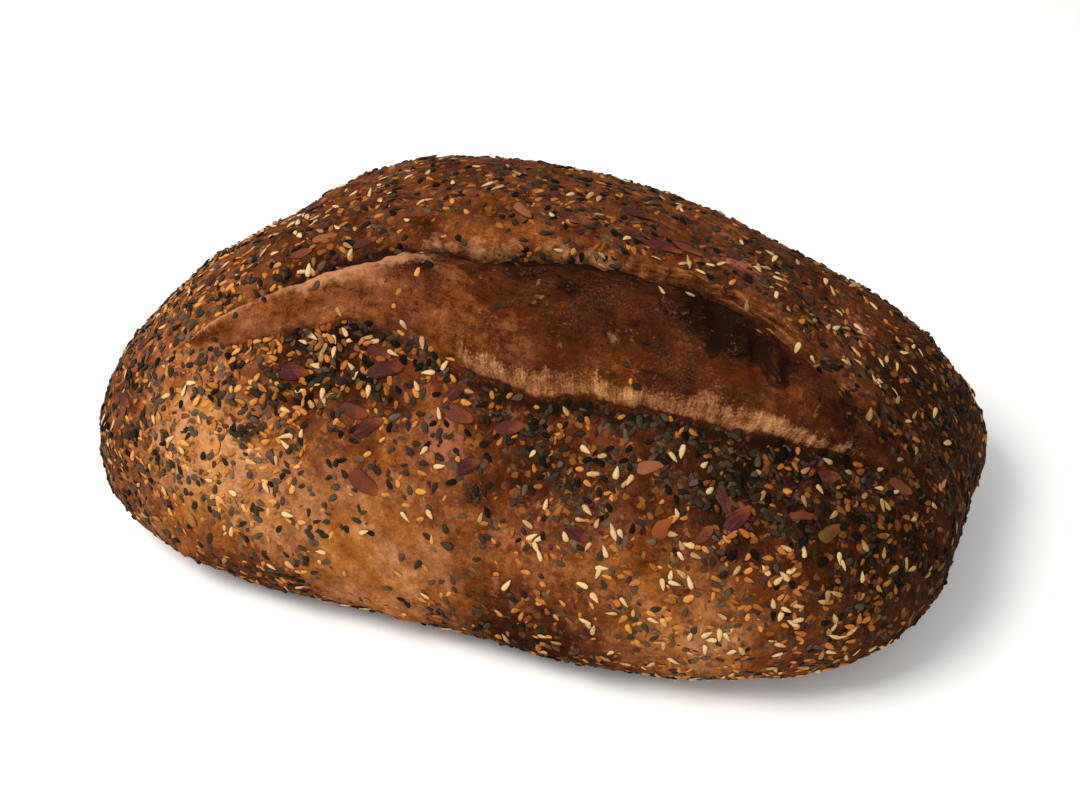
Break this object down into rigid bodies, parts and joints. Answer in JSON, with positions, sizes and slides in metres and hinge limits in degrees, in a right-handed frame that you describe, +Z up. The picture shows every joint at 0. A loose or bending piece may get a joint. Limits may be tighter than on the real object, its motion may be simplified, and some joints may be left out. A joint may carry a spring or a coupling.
{
  "type": "seeded sourdough loaf",
  "caption": "Oval hearth loaf with a dark crust, one long open score off centre and seeds all over the crust, on a flat base.",
  "frame": {"origin": "the middle of the flat base, on the surface that the loaf stands on", "axes": "+X along the loaf to its right end, -Y towards the side with the open score, +Z up"},
  "size_m": [0.2417, 0.1594, 0.0928],
  "materials": {
    "crust": "dry dark baked crust with seeds fused to it"
  },
  "bodies": {
    "root": {"loaf": "crust"}
  },
  "joints": []
}
